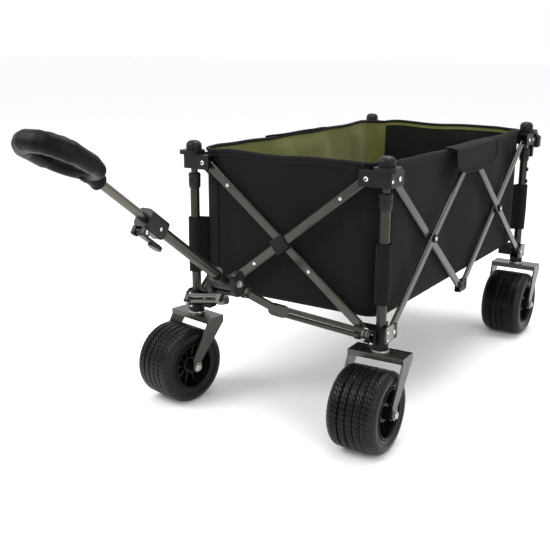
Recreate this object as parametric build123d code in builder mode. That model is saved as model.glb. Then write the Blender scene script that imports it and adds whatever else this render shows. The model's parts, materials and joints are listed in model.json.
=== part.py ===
"""Folding camp wagon: a four-way gathering frame on four wheels, with a draw bar, a telescoping handle and a fabric tub.

Frame: X to the wagon's right, Y towards its rear, Z up. The origin is on the ground, midway between the four corner posts.
A corner is (side, end): side is -1 on the left and +1 on the right, end is -1 at the front and +1 at the rear.
"""

import os
from math import atan2, cos, degrees, hypot, radians, sin, tan

from build123d import *

os.makedirs("parts", exist_ok=True)

# ---------------------------------------------------------------- driving dimensions (mm)
POST_SPREAD = 500.0  # between post axes, across the wagon
SPAN = 424.0  # level distance between the two ends of a scissor bar, opened
LOW_PIVOT_Z = 243.0
HIGH_PIVOT_Z = 576.0
END_INSET = (POST_SPREAD - SPAN) / 2  # end-bar pivot to post axis
SIDE_INSET = 24.0  # side-bar pivot to post axis
MID_GAP = 24.0  # between the two pins of a middle joint
POST_LENGTHWAYS = 2 * SPAN + MID_GAP + 2 * SIDE_INSET  # between post axes, along the wagon

HALF_X = POST_SPREAD / 2
HALF_Y = POST_LENGTHWAYS / 2
RISE = HIGH_PIVOT_Z - LOW_PIVOT_Z
BAR_LENGTH = hypot(SPAN, RISE)  # between a bar's two end pins
OPEN_ANGLE = degrees(atan2(RISE, SPAN))

# bars
BAR_HALF_WIDTH = 11.0
BAR_THICK = 8.0
LAYER_GAP = 0.6  # between the inner and the outer bar of a crossing pair
BAR_PLANE = 6.0  # middle of the two layers, outside the post axis
INNER_LAYER = BAR_PLANE - (BAR_THICK + LAYER_GAP) / 2  # middle of the inner bar
OUTER_LAYER = BAR_PLANE + (BAR_THICK + LAYER_GAP) / 2
CENTRE_HUB = (16.0, 4.0)  # radius and height of the hub over an end pair's crossing
PIN_R = 3.5
RUNNING = 0.05  # radial clearance of a pin in its bore

# posts
OUTER_TUBE_R = 11.0
OUTER_TUBE_BORE_R = 9.3
OUTER_TUBE_TOP_Z = 518.0
OUTER_TUBE_FOOT_Z = 222.0
COLLAR_R = 13.0
COLLAR_Z = (513.0, 546.0)
INNER_TUBE_R = 8.0
INNER_TUBE_BORE_R = 6.6
INNER_TUBE_FOOT_Z = 262.0
INNER_TUBE_TOP_Z = 588.0

# hubs
HUB_CORE = 12.6  # half-width of the block round the post
CHEEK_OUTER = (OUTER_LAYER + BAR_THICK / 2 + 0.4, OUTER_LAYER + BAR_THICK / 2 + 4.4)
CHEEK_INNER = (INNER_LAYER - BAR_THICK / 2 - 4.2, INNER_LAYER - BAR_THICK / 2 - 0.4)
CAP_R = 18.5
CAP_TOP_Z = 624.0
CAP_ROUND = 13.0

# wheels and forks
WHEEL_R = 91.0
WHEEL_HALF_WIDTH = 57.5
TYRE_WALL = 12.0
RIM_R = 57.0
WHEEL_LEAD = {"front": 60.0, "rear": 40.0}  # axle ahead of the stem
CASTER_YAW = {"front_left": -10.0, "front_right": 2.0}  # the casters stand turned a little
AXLE_R = 5.0
FORK_ARM_INNER = 61.5
FORK_PLATE_Z = (199.5, 203.5)
STEM_R = 6.0

# draw bar
ARM_FOOT = Vector(HALF_X - END_INSET + 24.0, -(HALF_Y + 49.0), 252.0)  # right arm's pivot on the corner hub
ARM_TILT = 34.0  # the plane that the arms swing in climbs forwards
ARM_REACH = BAR_LENGTH / 2
HUB_PIVOT_X = 24.0  # an arm's pivot on the draw-bar hub, from the middle
BRACKET_OFFSET = Vector(-162.0, -84.0, 47.0)  # twin tubes' end, from the right arm's foot
TWIN_R = 5.6
TWIN_PITCH = 12.4
LEG_R = 9.0

# handle
HANDLE_ANGLE = 36.0
KNUCKLE_R = 17.0
LOW_TUBE_R = 10.5
HIGH_TUBE_R = 8.2

# fabric
WALL_OFFSET = 7.5  # outer cloth face, inside the post axis
CLOTH = 3.0
FLOOR_Z = 266.0
RIM_Z = 604.0

CORNERS = {"front_left": (-1, -1), "front_right": (1, -1), "rear_left": (-1, 1), "rear_right": (1, 1)}


# ---------------------------------------------------------------- helpers
def save(part, name):
    """Label one finished piece and write it."""
    part.part.label = name
    export_step(part.part, f"parts/{name}.step")
    print(name, len(part.part.solids()), round(part.part.volume))


def block(x, y, z, mode=Mode.ADD):
    """A box between pairs of coordinates, in any order, in the open part."""
    middle = tuple(sum(pair) / 2 for pair in (x, y, z))
    size = [abs(pair[1] - pair[0]) for pair in (x, y, z)]
    with Locations(middle):
        Box(*size, mode=mode)


def rod(start, end, radius, mode=Mode.ADD):
    """A round bar between two points, in the open part."""
    start, end = Vector(start), Vector(end)
    with BuildSketch(Plane(origin=start, z_dir=end - start)) as section:
        Circle(radius)
    extrude(section.sketch, amount=(end - start).length, mode=mode)


def ring(start, end, radius, bore):
    """A round tube between two points, in the open part."""
    start, end = Vector(start), Vector(end)
    with BuildSketch(Plane(origin=start, z_dir=end - start)) as section:
        Circle(radius)
        Circle(bore, mode=Mode.SUBTRACT)
    extrude(section.sketch, amount=(end - start).length)


def at_corner(corner):
    """The post axis of a corner at ground level, and the two directions that lead inwards from it."""
    side, end = CORNERS[corner]
    return side * HALF_X, end * HALF_Y, -side, -end


def end_layer(corner, level):
    """The depth layer of the end bar that meets this corner at this level."""
    side, end = CORNERS[corner]
    crossing_outside = (side * end > 0) == (level == "bottom")
    return OUTER_LAYER if crossing_outside else INNER_LAYER


# ---------------------------------------------------------------- corner hubs and posts
def pin_and_spacer(corner, axis, level, layer, z):
    """A pivot pin through both cheeks of a hub leg, with a washer that fills the layer the bar leaves free."""
    x, y, inx, iny = at_corner(corner)
    free_layer = INNER_LAYER if layer == OUTER_LAYER else OUTER_LAYER
    half = BAR_THICK / 2 + (LAYER_GAP - 0.4) / 2
    spacer = (free_layer - half, free_layer + half)
    if axis == "end":
        px = x + inx * END_INSET
        rod((px, y - iny * CHEEK_INNER[0], z), (px, y - iny * (CHEEK_OUTER[1] + 1.6), z), PIN_R)
        rod((px, y - iny * spacer[0], z), (px, y - iny * spacer[1], z), 9.0)
    else:
        py = y + iny * SIDE_INSET
        rod((x - inx * CHEEK_INNER[0], py, z), (x - inx * (CHEEK_OUTER[1] + 1.6), py, z), PIN_R)
        rod((x - inx * spacer[0], py, z), (x - inx * spacer[1], py, z), 9.0)


def cheeks(corner, reach_end, reach_side, z):
    """The two pairs of plates that carry the pins of the end bar and the side bar."""
    x, y, inx, iny = at_corner(corner)
    outer, inner = CHEEK_OUTER, CHEEK_INNER
    block((x - inx * outer[1], x + inx * reach_end), (y - iny * outer[0], y - iny * outer[1]), z)
    block((x + inx * HUB_CORE, x + inx * reach_end), (y - iny * inner[0], y - iny * inner[1]), z)
    block((x - inx * outer[0], x - inx * outer[1]), (y - iny * outer[1], y + iny * reach_side), z)
    block((x - inx * inner[0], x - inx * inner[1]), (y + iny * HUB_CORE, y + iny * reach_side), z)
    block((x - inx * outer[1], x + inx * HUB_CORE), (y - iny * outer[1], y + iny * HUB_CORE), z)


def top_hub(corner):
    """Casing at the top of a post: two pairs of cheeks under a roof, a flange and a domed cap."""
    x, y, inx, iny = at_corner(corner)
    z = HIGH_PIVOT_Z
    reach_end, reach_side = 55.0, 44.0
    cheek_z = (z - 16.0, z + 17.0)
    roof_z = (z + 13.0, z + 17.0)
    flange_z = (z + 17.0, z + 26.0)
    with BuildPart() as hub:
        cheeks(corner, reach_end, reach_side, cheek_z)
        block((x, x + inx * reach_end), (y - iny * CHEEK_OUTER[1], y - iny * CHEEK_INNER[0]), roof_z)
        block((x - inx * CHEEK_OUTER[1], x - inx * CHEEK_INNER[0]), (y, y + iny * reach_side), roof_z)
        upright = hub.edges().filter_by(Axis.Z).sort_by(Axis((x, y, 0), (-inx, -iny, 0)))[-1]
        fillet(upright, 5)
        with BuildSketch(Plane((x - inx * 3, y - iny * 3, flange_z[0]))):
            RectangleRounded(50, 50, 14)
        extrude(amount=flange_z[1] - flange_z[0])
        rod((x, y, flange_z[1]), (x, y, CAP_TOP_Z), CAP_R)
        fillet(hub.edges().group_by(Axis.Z)[-1], CAP_ROUND)
        rod((x, y, cheek_z[0] - 1), (x, y, INNER_TUBE_TOP_Z), INNER_TUBE_R, Mode.SUBTRACT)
        pin_and_spacer(corner, "end", "top", end_layer(corner, "top"), z)
        pin_and_spacer(corner, "side", "top", INNER_LAYER, z)
        if iny < 0:
            # catch that stands out behind the hub and holds the gathered frame shut
            block((x - inx * 18, x + inx * 6), (y + 44, y + 60), (z - 20, z + 14))
            block((x - inx * 9, x + inx * 1), (y + CHEEK_OUTER[1] - 2, y + 46), (z - 14, z + 4))
    return hub


def bottom_hub(corner):
    """Casing at the foot of a post: two pairs of cheeks over a floor, the post socket and the stem socket."""
    x, y, inx, iny = at_corner(corner)
    z = LOW_PIVOT_Z
    reach_end, reach_side = 54.0, 42.0
    cheek_z = (z - 17.0, z + 15.0)
    floor_z = (z - 17.0, z - 13.0)
    foot_z = 207.9
    with BuildPart() as hub:
        cheeks(corner, reach_end, reach_side, cheek_z)
        block((x, x + inx * reach_end), (y - iny * CHEEK_OUTER[1], y - iny * CHEEK_INNER[0]), floor_z)
        block((x - inx * CHEEK_OUTER[1], x - inx * CHEEK_INNER[0]), (y, y + iny * reach_side), floor_z)
        rod((x, y, foot_z), (x, y, floor_z[1]), 18.0)
        if iny > 0:
            arm_lugs(inx)
        rod((x, y, OUTER_TUBE_FOOT_Z), (x, y, z + 20), OUTER_TUBE_R, Mode.SUBTRACT)
        rod((x, y, foot_z - 1), (x, y, OUTER_TUBE_FOOT_Z - 1.4), STEM_R + RUNNING, Mode.SUBTRACT)
        pin_and_spacer(corner, "end", "bottom", end_layer(corner, "bottom"), z)
        pin_and_spacer(corner, "side", "bottom", OUTER_LAYER, z)
    return hub


def arm_normal():
    """The axis that both draw-bar arms turn about."""
    return Vector(0, sin(radians(ARM_TILT)), cos(radians(ARM_TILT)))


def arm_lugs(inx):
    """Two ears ahead of a front bottom hub, above and below the draw-bar arm's eye, with their pin."""
    foot = Vector(-inx * ARM_FOOT.X, ARM_FOOT.Y, ARM_FOOT.Z)
    normal = arm_normal()
    back = Vector(0, cos(radians(ARM_TILT)), -sin(radians(ARM_TILT)))
    hub_face = (foot.Y + HALF_Y) * -1 - CHEEK_OUTER[1] + 1.0
    for low, high in ((-10.0, -6.4), (6.4, 10.0)):
        with BuildSketch(Plane(origin=foot + normal * low, x_dir=back, z_dir=normal)) as ear:
            Circle(11)
            with Locations((hub_face / 2, 0)):
                Rectangle(hub_face, 22)
        extrude(ear.sketch, amount=high - low)
    rod(foot - normal * 12.0, foot + normal * 12.0, PIN_R)
    # web that joins the ears to the hub's front cheek
    block(
        (foot.X - 11, foot.X + 11),
        (-HALF_Y - CHEEK_OUTER[1] - 10, -HALF_Y - CHEEK_OUTER[1]),
        (LOW_PIVOT_Z - 17, LOW_PIVOT_Z + 15),
    )


for corner in CORNERS:
    x, y, inx, iny = at_corner(corner)
    save(top_hub(corner), f"top_hub_{corner}")
    save(bottom_hub(corner), f"bottom_hub_{corner}")

    with BuildPart() as inner_tube:
        ring((x, y, INNER_TUBE_FOOT_Z), (x, y, INNER_TUBE_TOP_Z), INNER_TUBE_R, INNER_TUBE_BORE_R)
    save(inner_tube, f"inner_tube_{corner}")

    with BuildPart() as outer_tube:
        ring((x, y, OUTER_TUBE_FOOT_Z), (x, y, OUTER_TUBE_TOP_Z), OUTER_TUBE_R, OUTER_TUBE_BORE_R)
        ring((x, y, OUTER_TUBE_TOP_Z), (x, y, COLLAR_Z[1]), COLLAR_R, INNER_TUBE_R + 0.3)
        ring((x, y, COLLAR_Z[0]), (x, y, OUTER_TUBE_TOP_Z), COLLAR_R, OUTER_TUBE_R)
    save(outer_tube, f"outer_tube_{corner}")


# ---------------------------------------------------------------- scissor bars
def bar(start, end, outward, layer, centre_pin=False, hub=(7.0, 2.4)):
    """A flat-oval bar between two pivots, in its layer, with a bore at each end and at the crossing.

    start and end lie in the post plane; outward is the unit vector that leads out of the tub.
    A bar with centre_pin carries the crossing pin in place of the crossing bore, under a round
    hub of the given radius and height.
    """
    start, end, outward = Vector(start), Vector(end), Vector(outward)
    along = (end - start).normalized()
    near_face = outward * (layer - BAR_THICK / 2)
    plane = Plane(origin=(start + end) / 2 + near_face, x_dir=along, z_dir=outward)
    with BuildPart() as piece:
        with BuildSketch(plane):
            SlotCenterToCenter(BAR_LENGTH, 2 * BAR_HALF_WIDTH)
        extrude(amount=BAR_THICK)
        fillet(piece.edges().group_by(Axis(plane.origin, outward))[0], 3.8)
        fillet(piece.edges().group_by(Axis(plane.origin, outward))[-1], 3.8)
        bores = [(-BAR_LENGTH / 2, 0), (BAR_LENGTH / 2, 0)] + ([] if centre_pin else [(0, 0)])
        with BuildSketch(plane):
            with Locations(*bores):
                Circle(PIN_R + RUNNING)
        extrude(amount=BAR_THICK, mode=Mode.SUBTRACT)
        if centre_pin:
            middle = (start + end) / 2
            other = INNER_LAYER if layer == OUTER_LAYER else OUTER_LAYER
            step = 1 if layer == OUTER_LAYER else -1
            face = layer + step * BAR_THICK / 2
            far = other - step * (BAR_THICK / 2 + 0.3)
            rod(middle + outward * far, middle + outward * face, PIN_R)
            rod(middle + outward * face, middle + outward * (face + step * hub[1]), hub[0])
            rod(middle + outward * (far - step * 2.2), middle + outward * far, 7.0)
    return piece


def end_bars(end):
    """The crossing pair at the front (-1) or the rear (+1) end."""
    name = "front" if end < 0 else "rear"
    x, y = SPAN / 2, end * HALF_Y
    outward = (0, end, 0)
    low, high = LOW_PIVOT_Z, HIGH_PIVOT_Z
    x *= end  # the outer bar climbs to the right, seen from outside
    save(bar((x, y, low), (-x, y, high), outward, OUTER_LAYER, True, CENTRE_HUB), f"{name}_bar_outer")
    save(bar((-x, y, low), (x, y, high), outward, INNER_LAYER), f"{name}_bar_inner")


def side_bars(side):
    """The two crossing pairs along the left (-1) or the right (+1) side."""
    name = "left" if side < 0 else "right"
    x = side * HALF_X
    outward = (side, 0, 0)
    low, high = LOW_PIVOT_Z, HIGH_PIVOT_Z
    for end, where in ((-1, "front"), (1, "rear")):
        post_y = end * (HALF_Y - SIDE_INSET)
        mid_y = end * MID_GAP / 2
        save(bar((x, post_y, low), (x, mid_y, high), outward, OUTER_LAYER, True), f"{name}_{where}_bar_outer")
        save(bar((x, post_y, high), (x, mid_y, low), outward, INNER_LAYER), f"{name}_{where}_bar_inner")


def middle_joint(side, z, layer):
    """Bracket of two plates with two pins, where the side pairs meet at the middle of a long side."""
    x = side * HALF_X
    half_y, half_z, plate = 24.0, 12.0, 3.0
    faces = (layer - BAR_THICK / 2 - 0.3, layer + BAR_THICK / 2 + 0.3)
    lift = 1 if z == HIGH_PIVOT_Z else -1
    with BuildPart() as joint:
        for near, far in ((faces[0] - plate, faces[0]), (faces[1], faces[1] + plate)):
            block((x + side * near, x + side * far), (-half_y, half_y), (z - half_z, z + half_z))
        block(
            (x + side * (faces[0] - plate), x + side * (faces[1] + plate)),
            (-half_y, half_y),
            (z + lift * half_z, z + lift * (half_z + plate)),
        )
        fillet(joint.edges().filter_by(Axis.X).group_by(Axis.Z)[-1 if lift > 0 else 0], 2.5)
        for y in (-MID_GAP / 2, MID_GAP / 2):
            rod((x + side * (faces[0] - plate), y, z), (x + side * (faces[1] + plate + 1.4), y, z), PIN_R)
            rod((x + side * (faces[1] + plate), y, z), (x + side * (faces[1] + plate + 1.8), y, z), 5.5)
    return joint


for end in (-1, 1):
    end_bars(end)
for side, name in ((-1, "left"), (1, "right")):
    side_bars(side)
    save(middle_joint(side, HIGH_PIVOT_Z, OUTER_LAYER), f"{name}_upper_joint")
    save(middle_joint(side, LOW_PIVOT_Z, INNER_LAYER), f"{name}_lower_joint")


# ---------------------------------------------------------------- wheels and forks
def wheel_lead(corner):
    """How far ahead of its stem a wheel's axle is."""
    return WHEEL_LEAD[corner.split("_")[0]]


def wheel_frame(corner):
    """The wheel's centre and the direction of its axle."""
    x, y, _, _ = at_corner(corner)
    yaw = radians(CASTER_YAW.get(corner, 0.0))
    axle = Vector(cos(yaw), sin(yaw), 0)
    ahead = Vector(sin(yaw), -cos(yaw), 0)
    return Vector(x, y, WHEEL_R) + ahead * wheel_lead(corner), axle, ahead


def tyre(corner):
    """Wide tyre with a flat crown and round shoulders, hollow over the rim."""
    centre, axle, ahead = wheel_frame(corner)
    plane = Plane(origin=centre, x_dir=axle, z_dir=axle.cross(Vector(0, 0, 1)))
    crown, shoulder = WHEEL_HALF_WIDTH - 14.0, 18.0
    with BuildPart() as piece:
        with BuildSketch(plane):
            with BuildLine():
                Line((-crown, WHEEL_R), (crown, WHEEL_R))
                RadiusArc((crown, WHEEL_R), (WHEEL_HALF_WIDTH, WHEEL_R - shoulder), shoulder)
                Line((WHEEL_HALF_WIDTH, WHEEL_R - shoulder), (WHEEL_HALF_WIDTH - 4, RIM_R))
                Line((WHEEL_HALF_WIDTH - 4, RIM_R), (4 - WHEEL_HALF_WIDTH, RIM_R))
                Line((4 - WHEEL_HALF_WIDTH, RIM_R), (-WHEEL_HALF_WIDTH, WHEEL_R - shoulder))
                RadiusArc((-WHEEL_HALF_WIDTH, WHEEL_R - shoulder), (-crown, WHEEL_R), shoulder)
            make_face()
            with Locations((0, (RIM_R + WHEEL_R - TYRE_WALL) / 2)):
                Rectangle(2 * (WHEEL_HALF_WIDTH - TYRE_WALL), WHEEL_R - TYRE_WALL - RIM_R, mode=Mode.SUBTRACT)
        revolve(axis=Axis(centre, axle))
    return piece


def rim(corner):
    """Deep plastic rim: barrel, recessed spokes and a hub bored for the axle."""
    centre, axle, ahead = wheel_frame(corner)
    half = WHEEL_HALF_WIDTH - 4
    barrel_r, hub_r, hub_half = RIM_R - 5, 14.0, WHEEL_HALF_WIDTH + 2
    spoke_half, spoke_thick, spokes = 34.0, 5.0, 10
    with BuildPart() as piece:
        ring(centre - axle * half, centre + axle * half, RIM_R, barrel_r)
        ring(centre - axle * hub_half, centre + axle * hub_half, hub_r, AXLE_R + RUNNING)
        for n in range(spokes):
            turn = radians(360 / spokes * n)
            out = ahead * cos(turn) + Vector(0, 0, sin(turn))
            start = centre + out * (hub_r - 1) - axle * spoke_half
            with BuildSketch(Plane(origin=start, x_dir=axle, z_dir=out)):
                with Locations((spoke_half, 0)):
                    Rectangle(2 * spoke_half, spoke_thick)
            extrude(amount=barrel_r - hub_r + 2)
    return piece


def fork(corner):
    """Bent-plate fork: top plate, two tapered arms, stem, bearing ring, axle and nuts."""
    x, y, _, _ = at_corner(corner)
    centre, axle, ahead = wheel_frame(corner)
    stem = Vector(x, y, 0)
    low, high = FORK_PLATE_Z
    plate_half, arm_thick, arm_tip_r = 26.0, 4.0, 12.5
    outer = FORK_ARM_INNER + arm_thick
    lead = wheel_lead(corner)
    with BuildPart() as piece:
        with BuildSketch(Plane(origin=stem + Vector(0, 0, low), x_dir=axle, z_dir=(0, 0, 1))):
            RectangleRounded(2 * outer, 2 * plate_half, 3)
        extrude(amount=high - low)
        for hand in (-1, 1):
            face = stem + axle * (hand * FORK_ARM_INNER)
            plane = Plane(origin=face, x_dir=ahead, z_dir=axle * hand)
            up = 1 if plane.y_dir.Z > 0 else -1
            drop = high - WHEEL_R
            with BuildSketch(plane):
                with BuildLine():
                    Polyline(
                        (plate_half, up * high),
                        (-plate_half, up * high),
                        (-plate_half, up * (high - 16)),
                        (lead - arm_tip_r, up * (WHEEL_R + drop * 0.12)),
                        (lead - arm_tip_r, up * WHEEL_R),
                        (lead + arm_tip_r, up * WHEEL_R),
                        (lead + arm_tip_r, up * (WHEEL_R + drop * 0.2)),
                        (plate_half, up * (high - 14)),
                        close=True,
                    )
                make_face()
                with Locations((lead, up * WHEEL_R)):
                    Circle(arm_tip_r)
            extrude(amount=arm_thick)
            nut = centre + axle * (hand * outer)
            with BuildSketch(Plane(origin=nut, z_dir=axle * hand)):
                RegularPolygon(9.0, 6)
            extrude(amount=4)
        rod(centre - axle * (outer + 5), centre + axle * (outer + 5), AXLE_R)
        rod(stem + Vector(0, 0, high), stem + Vector(0, 0, 219.5), STEM_R)
        rod(stem + Vector(0, 0, high), stem + Vector(0, 0, 207.5), 16)
        rod(stem + Vector(0, 0, low - 6), stem + Vector(0, 0, low), 9)
    return piece


for corner in CORNERS:
    save(tyre(corner), f"tyre_{corner}")
    save(rim(corner), f"rim_{corner}")
    save(fork(corner), f"fork_{corner}")


# ---------------------------------------------------------------- draw bar
def arm_points(side):
    """An arm's foot on the corner hub, its bracket and its head on the draw-bar hub."""
    foot = Vector(side * ARM_FOOT.X, ARM_FOOT.Y, ARM_FOOT.Z)
    bracket = foot + Vector(side * BRACKET_OFFSET.X, BRACKET_OFFSET.Y, BRACKET_OFFSET.Z)
    forward = (ARM_FOOT.X - HUB_PIVOT_X) * tan(radians(OPEN_ANGLE))
    tilt = radians(ARM_TILT)
    head = Vector(side * HUB_PIVOT_X, foot.Y - forward * cos(tilt), foot.Z + forward * sin(tilt))
    return foot, bracket, head


def draw_arm(side):
    """Twin tubes from the corner hub to a bracket, then one leg to the draw-bar hub."""
    foot, bracket, head = arm_points(side)
    normal = arm_normal()
    run = (bracket - foot).normalized()
    across = run.cross(Vector(0, 0, 1)).normalized()
    stack = across.cross(run).normalized()
    leg = (head - bracket).normalized()
    with BuildPart() as arm:
        rod(foot - normal * 6.0, foot + normal * 6.0, 11)
        for step in (-0.5, 0.5):
            offset = stack * (TWIN_PITCH * step)
            rod(foot + offset, bracket + run * 4 + offset, TWIN_R)
        with BuildSketch(Plane(origin=bracket - across * 6, x_dir=run, z_dir=across)):
            SlotCenterToCenter(20, 25)
        extrude(amount=12)
        rod(bracket - leg * 2, head - leg * 8, LEG_R)
        rod(head - normal * 6.0, head + normal * 6.0, 11)
        for eye in (foot, head):
            rod(eye - normal * 13, eye + normal * 13, PIN_R + RUNNING, Mode.SUBTRACT)
            for way in (-1, 1):
                rod(eye + normal * (way * 6.0), eye + normal * (way * 14), 12.5, Mode.SUBTRACT)
    return arm


for side, name in ((-1, "left"), (1, "right")):
    save(draw_arm(side), f"draw_arm_{name}")


# ---------------------------------------------------------------- handle
handle_dir = Vector(0, -cos(radians(HANDLE_ANGLE)), sin(radians(HANDLE_ANGLE)))
handle_up = Vector(0, sin(radians(HANDLE_ANGLE)), cos(radians(HANDLE_ANGLE)))
_, _, arm_head = arm_points(1)
knuckle = Vector(0, arm_head.Y - 34.0, arm_head.Z + 26.0)  # handle pivot


def along_handle(distance, lift=0.0, x=0.0):
    """A point on the handle, measured from its pivot."""
    return knuckle + handle_dir * distance + handle_up * lift + Vector(x, 0, 0)


RING_S = (26.0, 40.0)
LOW_TUBE_S = (24.0, 276.0)
CLAMP_S = (244.0, 300.0)
HIGH_TUBE_S = (180.0, 448.0)
GRIP_S = 420.0

with BuildPart() as yoke:
    normal = arm_normal()
    for x in (-HUB_PIVOT_X, HUB_PIVOT_X):
        eye = Vector(x, arm_head.Y, arm_head.Z)
        back = Vector(0, cos(radians(ARM_TILT)), -sin(radians(ARM_TILT)))
        for low, high in ((-11.0, -6.4), (6.4, 11.0)):
            with BuildSketch(Plane(origin=eye + normal * low, x_dir=back, z_dir=normal)):
                Circle(11.5)
                with Locations((-12, 0)):
                    Rectangle(24, 23)
            extrude(amount=high - low)
        rod(eye - normal * 13, eye + normal * 13, PIN_R)
    for hand in (-1, 1):
        with BuildSketch(Plane(origin=knuckle + Vector(hand * 24, 0, 0), x_dir=(0, 1, 0), z_dir=(hand, 0, 0))):
            RectangleRounded(34, 54, 15)
        extrude(amount=11)
    block((-35, 35), (knuckle.Y - 4, knuckle.Y + 8), (knuckle.Z - 27, knuckle.Z - 20))
    rod(knuckle - Vector(35, 0, 0), knuckle + Vector(35, 0, 0), 6)
save(yoke, "draw_bar_hub")

with BuildPart() as base:
    rod(knuckle - Vector(23.6, 0, 0), knuckle + Vector(23.6, 0, 0), KNUCKLE_R)
    rod(knuckle, along_handle(RING_S[0]), 14)
    rod(along_handle(RING_S[0]), along_handle(RING_S[1]), 16)
    rod(knuckle - Vector(30, 0, 0), knuckle + Vector(30, 0, 0), 6.05, Mode.SUBTRACT)
    rod(along_handle(LOW_TUBE_S[0]), along_handle(RING_S[1] + 1), LOW_TUBE_R, Mode.SUBTRACT)
save(base, "handle_knuckle")

with BuildPart() as low_tube:
    ring(along_handle(LOW_TUBE_S[0]), along_handle(LOW_TUBE_S[1]), LOW_TUBE_R, HIGH_TUBE_R + 0.4)
save(low_tube, "handle_lower_tube")

LEVER_PIN = along_handle(CLAMP_S[1] - 8, -25)
with BuildPart() as clamp:
    with BuildSketch(Plane(origin=along_handle(CLAMP_S[0]), x_dir=(1, 0, 0), z_dir=handle_dir)):
        RectangleRounded(34, 36, 9)
    extrude(amount=CLAMP_S[1] - CLAMP_S[0])
    for hand in (-1, 1):
        with BuildSketch(Plane(origin=LEVER_PIN + Vector(hand * 8, 0, 0), x_dir=handle_dir, z_dir=(hand, 0, 0))):
            RectangleRounded(16, 18, 4)
        extrude(amount=7)
    rod(LEVER_PIN - Vector(15, 0, 0), LEVER_PIN + Vector(15, 0, 0), 3)
    rod(along_handle(CLAMP_S[0] - 1), along_handle(LOW_TUBE_S[1]), LOW_TUBE_R, Mode.SUBTRACT)
    rod(along_handle(LOW_TUBE_S[1] - 1), along_handle(CLAMP_S[1] + 1), HIGH_TUBE_R + 0.3, Mode.SUBTRACT)
save(clamp, "handle_clamp")

with BuildPart() as lever:
    rod(LEVER_PIN - Vector(7.6, 0, 0), LEVER_PIN + Vector(7.6, 0, 0), 6)
    blade = LEVER_PIN - handle_dir * 22 - handle_up * 4
    with BuildSketch(Plane(origin=blade - handle_up * 3, x_dir=handle_dir, z_dir=handle_up)):
        Rectangle(44, 12)
    extrude(amount=6)
    pad = LEVER_PIN - handle_dir * 50 - handle_up * 6
    with BuildSketch(Plane(origin=pad - handle_up * 5, x_dir=handle_dir, z_dir=handle_up)):
        Ellipse(17, 11)
    extrude(amount=9)
    fillet(lever.edges().filter_by(GeomType.ELLIPSE), 2.5)
    rod(LEVER_PIN - Vector(8, 0, 0), LEVER_PIN + Vector(8, 0, 0), 3.05, Mode.SUBTRACT)
save(lever, "clamp_lever")

with BuildPart() as high_tube:
    ring(along_handle(HIGH_TUBE_S[0]), along_handle(HIGH_TUBE_S[1]), HIGH_TUBE_R, HIGH_TUBE_R - 1.5)
save(high_tube, "handle_upper_tube")

GRIP_TILT = 29.5  # the loop lies flatter than the tube
GRIP_HALF_X, GRIP_HALF_S, GRIP_TUBE_R = 52.0, 61.0, 13.0
GRIP_CORNER_R = 46.0
loop_dir = Vector(0, -cos(radians(GRIP_TILT)), sin(radians(GRIP_TILT)))
loop_normal = Vector(0, sin(radians(GRIP_TILT)), cos(radians(GRIP_TILT)))
loop_centre = along_handle(GRIP_S + 44) + loop_dir * GRIP_HALF_S
with BuildPart() as grip:
    loop_plane = Plane(origin=loop_centre, x_dir=(1, 0, 0), z_dir=loop_normal)
    with BuildSketch(loop_plane, mode=Mode.PRIVATE) as loop_face:
        RectangleRounded(2 * GRIP_HALF_X, 2 * GRIP_HALF_S, GRIP_CORNER_R)
    loop_path = loop_face.sketch.face().outer_wire()
    with BuildSketch(Plane(origin=loop_path @ 0, z_dir=loop_path % 0)):
        Circle(GRIP_TUBE_R)
    sweep(path=loop_path)
    rod(along_handle(GRIP_S + 8), along_handle(GRIP_S + 42), 14)
    rod(along_handle(GRIP_S + 7), along_handle(HIGH_TUBE_S[1]), HIGH_TUBE_R, Mode.SUBTRACT)
save(grip, "handle_grip")


# ---------------------------------------------------------------- fabric tub
wall_x = HALF_X - WALL_OFFSET
wall_y = HALF_Y - WALL_OFFSET
post_gap = 26.0
for name, side in (("left", -1), ("right", 1)):
    with BuildPart() as panel:
        block(
            (side * wall_x, side * (wall_x - CLOTH)),
            (-(HALF_Y - post_gap), HALF_Y - post_gap),
            (FLOOR_Z, RIM_Z),
        )
    save(panel, f"tub_wall_{name}")
for name, end in (("front", -1), ("rear", 1)):
    with BuildPart() as panel:
        block(
            (-(HALF_X - post_gap), HALF_X - post_gap),
            (end * wall_y, end * (wall_y - CLOTH)),
            (FLOOR_Z, RIM_Z),
        )
    save(panel, f"tub_wall_{name}")
third = 2 * (wall_y - CLOTH) / 3
for name, n in (("front", -1.5), ("middle", -0.5), ("rear", 0.5)):
    with BuildPart() as panel:
        block(
            (-(wall_x - CLOTH), wall_x - CLOTH),
            (third * n, third * (n + 1)),
            (FLOOR_Z, FLOOR_Z + CLOTH),
        )
    save(panel, f"tub_floor_{name}")
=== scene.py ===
import json
from math import atan2, cos, degrees, hypot, pi, radians, sin, sqrt

import bmesh
import bpy
from mathutils import Matrix, Vector

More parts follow.
